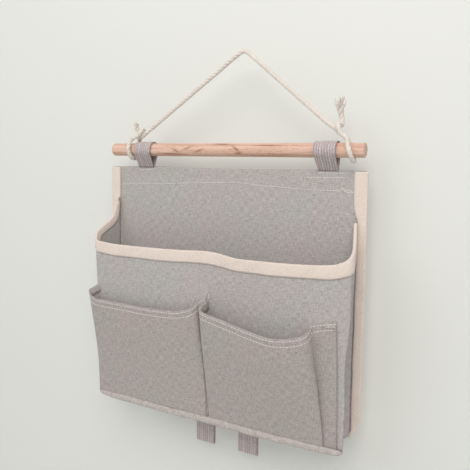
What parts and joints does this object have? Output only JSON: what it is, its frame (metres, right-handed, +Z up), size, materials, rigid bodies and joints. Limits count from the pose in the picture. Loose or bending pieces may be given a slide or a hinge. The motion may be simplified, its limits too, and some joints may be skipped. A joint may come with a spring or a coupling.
{
  "type": "hanging fabric wall organizer",
  "caption": "Cloth wall organizer with a deep open pocket and low front pockets, hung from a wooden rod by a knotted cord.",
  "frame": {"origin": "the bend of the hanging cord, where it lies over its hook", "axes": "+Z up, +Y towards the wall, -Y the front, +X to the right of someone who faces the wall"},
  "size_m": [0.284, 0.0595, 0.3973],
  "materials": {
    "rod_wood": "bare sanded wood",
    "cord_cotton": "matte twisted cotton",
    "binding_cotton": "matte woven cotton tape",
    "grey_cloth": "matte linen and cotton weave",
    "strap_cloth": "matte folded linen and cotton strap"
  },
  "bodies": {
    "cord": {"hanging_cord": "cord_cotton", "left_knot": "cord_cotton", "right_knot": "cord_cotton"},
    "rod": {"dowel": "rod_wood"},
    "bag": {"top_loop_left": "strap_cloth", "top_loop_right": "strap_cloth", "back_panel": "grey_cloth", "left_edge_binding": "binding_cotton", "right_edge_binding": "binding_cotton", "mouth_binding": "binding_cotton", "front_panel": "grey_cloth", "left_gusset": "grey_cloth", "right_gusset": "grey_cloth", "bottom_panel": "grey_cloth", "bottom_seam_binding": "grey_cloth", "left_pocket": "grey_cloth", "right_pocket": "grey_cloth"},
    "small_loop_left": {"bottom_loop_left": "strap_cloth"},
    "small_loop_right": {"bottom_loop_right": "strap_cloth"}
  },
  "joints": [
    {"name": "rod_spin", "type": "hinge", "parent": "cord", "child": "rod", "pos_m": [-0.0195, 0.0013, -0.0891], "axis": [1, 0, 0], "continuous": true},
    {"name": "bag_swing", "type": "hinge", "parent": "cord", "child": "bag", "pos_m": [-0.0232, 0.0013, -0.0891], "axis": [-1, 0, 0], "range_deg": [0, 90]},
    {"name": "small_loop_left_swing", "type": "hinge", "parent": "bag", "child": "small_loop_left", "pos_m": [-0.0442, 0.0067, -0.35065], "axis": [-1, 0, 0], "range_deg": [0, 70]},
    {"name": "small_loop_right_swing", "type": "hinge", "parent": "bag", "child": "small_loop_right", "pos_m": [0.0055, 0.0067, -0.35065], "axis": [-1, 0, 0], "range_deg": [0, 70]}
  ]
}
